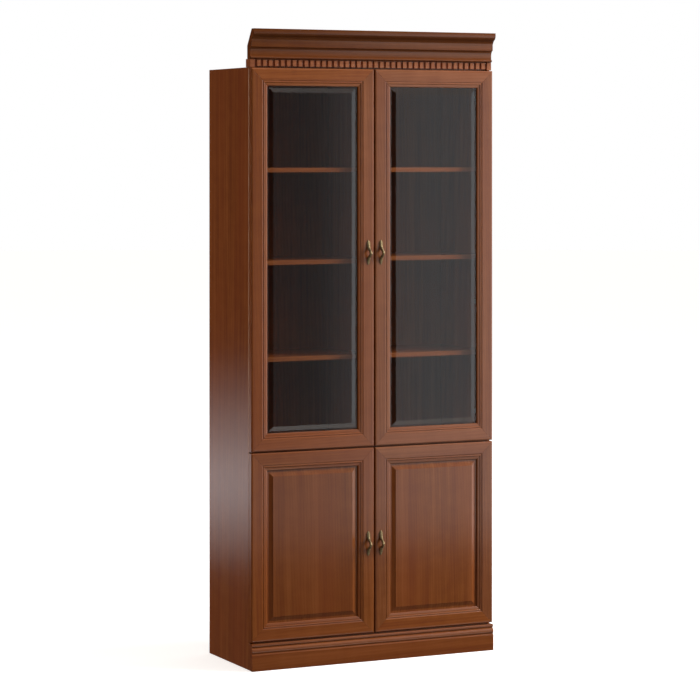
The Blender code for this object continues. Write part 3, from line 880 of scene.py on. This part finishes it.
# %% Handle form
# height from the handle's middle, reach of the centre line, width, thickness
HANDLE_STATIONS = (
    (0.0450, 0.0010, 0.0012, 0.0014),
    (0.0380, 0.0017, 0.0112, 0.0027),
    (0.0290, 0.0025, 0.0126, 0.0041),
    (0.0190, 0.0042, 0.0112, 0.0066),
    (0.0122, 0.0083, 0.0084, 0.0098),
    (0.0070, 0.0152, 0.0082, 0.0096),
    (-0.0020, 0.0216, 0.0086, 0.0084),
    (-0.0110, 0.0152, 0.0082, 0.0096),
    (-0.0162, 0.0083, 0.0084, 0.0098),
    (-0.0225, 0.0042, 0.0108, 0.0066),
    (-0.0300, 0.0025, 0.0114, 0.0040),
    (-0.0370, 0.0016, 0.0092, 0.0025),
    (-0.0440, 0.0010, 0.0012, 0.0014),
)
HANDLE_TOP = HANDLE_STATIONS[0][0]
HANDLE_BOTTOM = HANDLE_STATIONS[-1][0]
HANDLE_RINGS = 216
HANDLE_SIDES = 48
LEAF_STARTS = (0.0140, -0.0180)
LOBE_PITCH = 0.0058
LOBE_DEPTH = 0.16
VEIN_DEPTH = 0.00042
VEIN_SLANT = 0.85
VEIN_START = 0.12
VEIN_FADE = 0.15
VEIN_POWER = 4
MIDRIB_RISE = 0.00050
LOBE_POWER = 0.7
LOBE_MIDDLE = 0.7
RIB_WIDTH = 0.16
COLLAR_REACH = 0.0070
COLLAR_STEP = 0.0028
KNOP_HEIGHT = -0.0020
KNOP_SPAN = 0.009
KNOP_RING_STEP = 0.0046
TIP_LENGTH = 0.006
LEAF_TURN = 0.0035
# growth of the section, width of the bump
COLLAR = (0.30, 0.0009)
COLLAR_BEAD = (0.18, 0.0006)
KNOP = (0.22, 0.0021)
KNOP_RING = (0.16, 0.0007)
print("handle:", round((HANDLE_TOP - HANDLE_BOTTOM) * 1000, 1), "mm tall")


# %% Curve through the stations
def through(stations, share):
    """A smooth curve through the stations, at a share of the way from the first to the last."""
    place = share * (len(stations) - 1)
    first = min(int(place), len(stations) - 2)
    t = place - first
    picks = [max(first - 1, 0), first, first + 1, min(first + 2, len(stations) - 1)]
    values = []
    for a, b, c, d in zip(*(stations[pick] for pick in picks)):
        curve = 2 * b + (c - a) * t + (2 * a - 5 * b + 4 * c - d) * t**2 + (3 * b - a - 3 * c + d) * t**3
        values.append(curve / 2)
    return values


# %% Leaves, collars, knop and veins
def bump_at(distance, rise, width):
    """The full rise at no distance, falling smoothly to nothing within about two widths."""
    return rise * math.exp(-(distance / width) ** 2)


def leaf_share(height):
    """One on the leaves, nothing on the arch, with a short change between them."""
    past = max(height - LEAF_STARTS[0], LEAF_STARTS[1] - height)
    return min(max(past / LEAF_TURN, 0.0), 1.0)


def swell(height, reach):
    """How much fatter the section is at the collars, the knop and its rings."""
    off_leaf = 1 - leaf_share(height)
    past = reach - COLLAR_REACH
    collar = bump_at(past, *COLLAR) + bump_at(past - COLLAR_STEP, *COLLAR_BEAD)
    if abs(height - KNOP_HEIGHT) < KNOP_SPAN:
        collar = 0.0
    knop = bump_at(height - KNOP_HEIGHT, *KNOP)
    for side in (-1, 1):
        knop += bump_at(height - KNOP_HEIGHT - side * KNOP_RING_STEP, *KNOP_RING)
    return 1 + off_leaf * (collar + knop)


def vein(height, across):
    """Depth of the leaf's veins, from 0 to 1, at a place across the leaf from -1 to 1."""
    wave = math.cos(2 * math.pi * (abs(height) / LOBE_PITCH - VEIN_SLANT * abs(across)))
    beside_rib = min(max((abs(across) - VEIN_START) / VEIN_FADE, 0.0), 1.0)
    return (0.5 + 0.5 * wave) ** VEIN_POWER * beside_rib


# %% One cast handle
# how dark the patina stays in the veins, beside the midrib, along the arch and behind
VEIN_RECESS = 0.9
LEAF_RECESS = 0.28
ARCH_RECESS = 1.6
BACK_RECESS = 0.35
# growth at which the arch's section is rubbed bright, height in the section where its back starts
RUBBED_SECTION = 1.12
BACK_STARTS = -0.2


def handle_casting(name, x, z, body):
    """One cast bow handle, with a recess attribute for its patina."""
    line = [through(HANDLE_STATIONS, number / HANDLE_RINGS) for number in range(HANDLE_RINGS + 1)]
    rings = []
    recesses = []
    for number, (height, reach, width, thickness) in enumerate(line):
        before = line[max(number - 1, 0)]
        after = line[min(number + 1, HANDLE_RINGS)]
        along = Vector((0.0, before[1] - after[1], after[0] - before[0])).normalized()
        outward = Vector((0.0, along.z, -along.y))
        leaf = leaf_share(height)
        tip = min((HANDLE_TOP - height) / TIP_LENGTH, (height - HANDLE_BOTTOM) / TIP_LENGTH, 1.0)
        lobes = abs(math.sin(math.pi * abs(height) / LOBE_PITCH)) ** LOBE_POWER
        fat = swell(height, reach)
        edge = width / 2 * fat * (1 + leaf * tip * LOBE_DEPTH * (lobes - LOBE_MIDDLE))
        ring = []
        for side in range(HANDLE_SIDES):
            angle = 2 * math.pi * side / HANDLE_SIDES
            across = math.cos(angle)
            front = max(math.sin(angle), 0.0)
            groove = leaf * tip * vein(height, across)
            rib = leaf * tip * bump_at(across, 1.0, RIB_WIDTH)
            rise = front * (MIDRIB_RISE * rib - VEIN_DEPTH * groove)
            out = thickness / 2 * fat * math.sin(angle) + rise
            point = Vector((x + edge * across, door_face_y - reach, z + height)) + outward * out
            point.y = min(point.y, door_face_y - BOARD_GAP)
            ring.append(point)
            recess = VEIN_RECESS * groove + LEAF_RECESS * leaf * (1 - rib)
            recess += ARCH_RECESS * (1 - leaf) * max(RUBBED_SECTION - fat, 0.0)
            recess += BACK_RECESS if math.sin(angle) < BACK_STARTS else 0.0
            recesses.append(min(recess, 1.0))
        rings.append(ring)
    piece = make_piece(name, [rings], antique_brass, body, smooth_below=60)
    attribute = piece.data.attributes.new("recess", "FLOAT", "POINT")
    attribute.data.foreach_set("value", recesses)
    return piece


# %% Four handles
DOORS = ("upper_left", "upper_right", "lower_left", "lower_right")
door_face_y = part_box("upper_left_outer_stile")[0][1]

for door in DOORS:
    low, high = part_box(f"{door}_handle")
    middle_x = (low[0] + high[0]) / 2
    middle_z = high[2] - HANDLE_TOP
    casting = handle_casting(f"{door}_bow_handle", middle_x, middle_z, f"{door}_door")
    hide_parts(f"{door}_handle")
    reach = door_face_y - min(point.co.y for point in casting.data.vertices)
    print(casting.name, "reaches", round(reach * 1000, 2), "mm from the door")

# %% [markdown]
# ## Hinge steel
#
# Concealed hinges are pressed from mild steel strip and nickel plated in a barrel. That leaves a
# bright, slightly yellow metal with a soft sheen and fine scratches one way from the rolling. A
# scratch is drawn 0.3 mm wide, ten times too coarse, or it would vanish between the pixels.

# %% Nickel plated steel
SCRATCH_SIZE = (0.0003, 0.012)
SCRATCH_DEPTH = 0.00001
PLATING_CLOUD = 0.009
STEEL_EASE = 0.0005

hinge_steel, tree, surface, place = new_finish("nickel_plated_steel")
rolled = noise(tree, place, SCRATCH_SIZE, 2.0)
cloudy = noise(tree, place, (PLATING_CLOUD, PLATING_CLOUD), 3.0)
feed(tree, surface, {
    "Base Color": blend(tree, cloudy, linear("#B9B5AA"), linear("#CFCCC4")),
    "Roughness": remap(tree, rolled, WHOLE, (0.22, 0.42)),
    "Normal": relief(tree, rolled, SCRATCH_DEPTH, 0.7),
    "Metallic": 1.0,
})

hinges = sorted(name for name in nodes if "_hinge_" in name)
for name in hinges:
    dress(nodes[name], hinge_steel)
    ease_edges(nodes[name], STEEL_EASE)
print("hinge arms dressed:", len(hinges))

# %% [markdown]
# ## Hinge cups
#
# The moving half of each hinge is a cup of 35 mm pressed into the bored recess in the door, with a
# flat flange on the door's back and two screws through it. The flange is one outline round the
# cup and a cross plate, melted together, and the cup is pressed down inside it, so rings that
# start on the outline and shrink into the cup make the whole pressing.

# %% Outline of the flange
CUP_INSET = 0.0215
CUP_INNER_RADIUS = 0.0160
CUP_OUTER_RADIUS = 0.0173
CUP_DEPTH = 0.0112
DOOR_THICKNESS = 0.020
FLANGE_THICKNESS = 0.0012
FLANGE_LIFT = 0.0001
FLANGE_CENTRE = 0.0065
FLANGE_HALF_WIDTH = 0.0090
FLANGE_HALF_HEIGHT = 0.0290
FLANGE_CORNER = 0.0050
FLANGE_BLEND = 0.0040
CUP_SIDES = 72


def outside_flange(across, up):
    """Distance outside the flange's outline, or less than nothing inside it."""
    disc = math.hypot(across, up) - CUP_OUTER_RADIUS - 0.0006
    over_x = abs(across - FLANGE_CENTRE) - FLANGE_HALF_WIDTH + FLANGE_CORNER
    over_z = abs(up) - FLANGE_HALF_HEIGHT + FLANGE_CORNER
    plate = math.hypot(max(over_x, 0), max(over_z, 0)) + min(max(over_x, over_z), 0) - FLANGE_CORNER
    near = max(FLANGE_BLEND - abs(disc - plate), 0) / FLANGE_BLEND
    return min(disc, plate) - near**2 * FLANGE_BLEND / 4


def flange_radius(angle):
    """Where a line from the cup's centre leaves the flange."""
    inside, outside = 0.010, 0.040
    for _ in range(24):
        middle = (inside + outside) / 2
        if outside_flange(middle * math.cos(angle), middle * math.sin(angle)) < 0:
            inside = middle
        else:
            outside = middle
    return inside


# %% Pressed cup
door_back_y = door_face_y + DOOR_THICKNESS
flange_y = door_back_y + FLANGE_LIFT


def cup_ring(centre, hand, radius, y):
    """A ring of the pressing. hand is -1 on the left door, so that the plate points inward."""
    ring = []
    for side in range(CUP_SIDES):
        angle = 2 * math.pi * side / CUP_SIDES
        reach = radius(angle) if callable(radius) else radius
        across = centre[0] - hand * reach * math.cos(angle)
        ring.append(Vector((across, y, centre[1] + reach * math.sin(angle))))
    return ring


def hinge_cup(name, hand, height, body):
    """A pressed cup with its flange, in the recess of a door."""
    centre = (hand * (cabinet_half_width - CUP_INSET), height)
    sections = (
        (0.0020, flange_y - CUP_DEPTH),
        (CUP_OUTER_RADIUS - 0.0025, flange_y - CUP_DEPTH),
        (CUP_OUTER_RADIUS - 0.0006, flange_y - CUP_DEPTH + 0.0007),
        (CUP_OUTER_RADIUS, flange_y - CUP_DEPTH + 0.0026),
        (CUP_OUTER_RADIUS, flange_y),
        (flange_radius, flange_y),
        (flange_radius, flange_y + FLANGE_THICKNESS * 0.6),
        (lambda angle: flange_radius(angle) - 0.0005, flange_y + FLANGE_THICKNESS),
        (CUP_INNER_RADIUS + 0.0009, flange_y + FLANGE_THICKNESS),
        (CUP_INNER_RADIUS + 0.0002, flange_y + FLANGE_THICKNESS - 0.0004),
        (CUP_INNER_RADIUS, flange_y + FLANGE_THICKNESS - 0.0012),
        (CUP_INNER_RADIUS, flange_y - CUP_DEPTH + 0.0034),
        (CUP_INNER_RADIUS - 0.0007, flange_y - CUP_DEPTH + 0.0016),
        (CUP_INNER_RADIUS - 0.0025, flange_y - CUP_DEPTH + 0.0010),
        (0.0020, flange_y - CUP_DEPTH + 0.0010),
    )
    rings = [cup_ring(centre, hand, radius, y) for radius, y in sections]
    return make_piece(name, [rings], hinge_steel, body)


# %% [markdown]
# ## Hinge links
#
# Two short steel links carry the door's cup from the tip of the arm, and fold as it opens. The
# cabinet has one fixed axis in their place, so a single piece is drawn as the links lie when the
# door is shut, and it stays at the arm. Its outline is extruded and its edges are eased.

# %% Links from the arms into the cups
LINK_START = 0.0022
LINK_HALF_HEIGHT = 0.0058
LINK_SHARP = 50
# reach into the cabinet from the side panel, distance in front of the arm's tip
LINK_OUTLINE = (
    (0.0040, 0.0),
    (0.0038, 0.0062),
    (0.0050, 0.0092),
    (0.0074, 0.0104),
    (0.0098, 0.0094),
    (0.0112, 0.0064),
    (0.0114, 0.0),
)


def hinge_link(name, hand, height):
    """The steel link between an arm and its cup, drawn as it lies when the door is shut."""
    side_face = hand * side_inner_face
    tip_y = door_back_y + LINK_START
    outline = [(side_face - hand * inward, tip_y - ahead) for inward, ahead in LINK_OUTLINE]
    rings = []
    for z in (height - LINK_HALF_HEIGHT, height + LINK_HALF_HEIGHT):
        rings.append([(x, y, z) for x, y in outline])
    link = make_piece(name, [rings], hinge_steel, "cabinet")
    round_edges(link, STEEL_EASE, LINK_SHARP)
    return link


# %% Cups and links fitted
cabinet_half_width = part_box("left_side_panel")[0][0] * -1
side_inner_face = -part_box("left_side_panel")[1][0] - BOARD_GAP
hinge_places = {}
for name in hinges:
    low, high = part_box(name)
    hand = -1 if "left" in name else 1
    door = name.split("_hinge_")[0]
    height = (low[2] + high[2]) / 2
    hinge_places[name] = (door, hand, height)
    hinge_cup(f"{name}_cup", hand, height, f"{door}_door")
    hinge_link(f"{name}_link", hand, height)
print("hinge cups and links:", len(hinge_places))

# %% [markdown]
# ## Screws and pins
#
# Every fitting is held by small steel screws with a cross recess, and each loose shelf rests on
# four brown plastic pins pushed into holes in the boards, dark so that they don't show through
# the glass. A screw could be one shared mesh, but they are joined by the body that they ride on,
# because nobody picks them one by one.

# %% Screw and pin shapes
CROSS_SIDES = 32


def cross(size):
    """The outline of a cross recess, as a radius at each angle."""
    return lambda angle: size * (0.34 + 0.66 * abs(math.cos(2 * angle)) ** 5)


def screw_head(place, axis, radius, height):
    """A pan head with a cross recess, standing on its place and pointing along the axis."""
    profile = (
        (radius, 0.0),
        (radius, height * 0.35),
        (radius * 0.90, height * 0.72),
        (radius * 0.70, height * 0.93),
        (radius * 0.56, height),
        (cross(radius * 0.52), height),
        (cross(radius * 0.34), height * 0.35),
    )
    return lathe(profile, place, axis, CROSS_SIDES)


def shelf_pin(place, axis):
    """A pin of 5 mm with a thin collar, standing out of a board along the axis."""
    profile = (
        (0.0039, 0.0001),
        (0.0040, 0.0003),
        (0.0039, 0.0008),
        (0.0025, 0.0009),
        (0.0025, 0.0080),
        (0.0022, 0.0088),
        (0.0012, 0.0090),
    )
    return lathe(profile, place, axis)


# %% Screws on the doors
BACKWARD = (0, 1, 0)
HANDLE_SCREWS = LEAF_STARTS
CUP_SCREW_SHIFT = 0.0095
CUP_SCREW_HEIGHT = 0.0225
# radius and height of each kind of head
HANDLE_SCREW_HEAD = (0.0038, 0.0021)
CUP_SCREW_HEAD = (0.0033, 0.0009)
PLATE_SCREW_HEAD = (0.0033, 0.0016)
ARM_SCREW_HEAD = (0.0036, 0.0014)

for door in DOORS:
    heads = []
    low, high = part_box(f"{door}_handle")
    for height in HANDLE_SCREWS:
        place = ((low[0] + high[0]) / 2, door_back_y, high[2] - HANDLE_TOP + height)
        heads.append(screw_head(place, BACKWARD, *HANDLE_SCREW_HEAD))
    for owner, hand, height in hinge_places.values():
        if owner != door:
            continue
        x = hand * (cabinet_half_width - CUP_INSET - CUP_SCREW_SHIFT)
        for side in (-1, 1):
            place = (x, flange_y + FLANGE_THICKNESS, height + side * CUP_SCREW_HEIGHT)
            heads.append(screw_head(place, BACKWARD, *CUP_SCREW_HEAD))
    screws = make_piece(f"{door}_door_screws", heads, hinge_steel, f"{door}_door")
    print(screws.name, "made")

# %% Screws of the hinge plates and arms
PLATE_THICKNESS = 0.0025
PLATE_SCREW_Y = door_face_y + 0.060
PLATE_SCREW_HEIGHT = 0.016
# reach into the cabinet from the side panel, depth behind the door's face
ARM_SCREWS = ((0.0142, 0.045), (0.0134, 0.073))

heads = []
for _, hand, height in hinge_places.values():
    inward = (-hand, 0, 0)
    plate_face = hand * (side_inner_face - PLATE_THICKNESS)
    for side in (-1, 1):
        place = (plate_face, PLATE_SCREW_Y, height + side * PLATE_SCREW_HEIGHT)
        heads.append(screw_head(place, inward, *PLATE_SCREW_HEAD))
    for reach, depth in ARM_SCREWS:
        place = (hand * (side_inner_face - reach), door_face_y + depth, height)
        heads.append(screw_head(place, inward, *ARM_SCREW_HEAD))
make_piece("hinge_plate_screws", heads, hinge_steel, "cabinet")
print("plate and arm screws:", len(heads))

# %% Shelf pins
PIN_INSET = 0.037
PIN_DROP = 0.0028
PIN_START = 0.0010

pins = []
for name in sorted(name for name in nodes if "_shelf_" in name):
    low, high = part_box(name)
    z = low[2] - PIN_DROP
    for y in (low[1] + PIN_INSET, high[1] - PIN_INSET):
        pins.append(shelf_pin((low[0] - PIN_START, y, z), (1, 0, 0)))
        pins.append(shelf_pin((high[0] + PIN_START, y, z), (-1, 0, 0)))
make_piece("shelf_pins", pins, soft_strip, "cabinet")
print("shelf pins:", len(pins))

# %% [markdown]
# ## Nails in the back panel
#
# The thin back is nailed on through its raw face, in rows along the boards behind it. The nails
# are 4 mm panel pins with a flat head, evenly spaced from end to end of each board, so the rows
# follow from the boards' own boxes and the spacing, and each head is turned like a screw's.

# %% Panel pins
NAIL_RADIUS = 0.0022
NAIL_SIDES = 16
NAIL_SPACING = 0.125
NAIL_MARGIN = 0.030

nail_face_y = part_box("back_panel")[1][1]


def places_along(low, high, margin, spacing):
    """Evenly spaced places between two ends, with a margin at both."""
    run = high - low - 2 * margin
    count = round(run / spacing)
    return [low + margin + run * number / count for number in range(count + 1)]


spots = []
for name in ("top_panel", "fixed_shelf", "bottom_panel"):
    low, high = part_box(name)
    for x in places_along(low[0], high[0], NAIL_MARGIN, NAIL_SPACING):
        spots.append((x, (low[2] + high[2]) / 2))
for name in ("upper_partition", "lower_partition"):
    low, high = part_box(name)
    for z in places_along(low[2], high[2], 3 * NAIL_MARGIN, NAIL_SPACING):
        spots.append((0.0, z))
nail_head = (
    (NAIL_RADIUS * 0.96, 0.0),
    (NAIL_RADIUS, 0.0002),
    (NAIL_RADIUS * 0.94, 0.0004),
    (NAIL_RADIUS * 0.60, 0.0006),
    (NAIL_RADIUS * 0.20, 0.00065),
)
nails = [lathe(nail_head, (x, nail_face_y, z), BACKWARD, NAIL_SIDES) for x, z in spots]
make_piece("back_panel_nails", nails, hinge_steel, "cabinet")
print("nails:", len(nails))
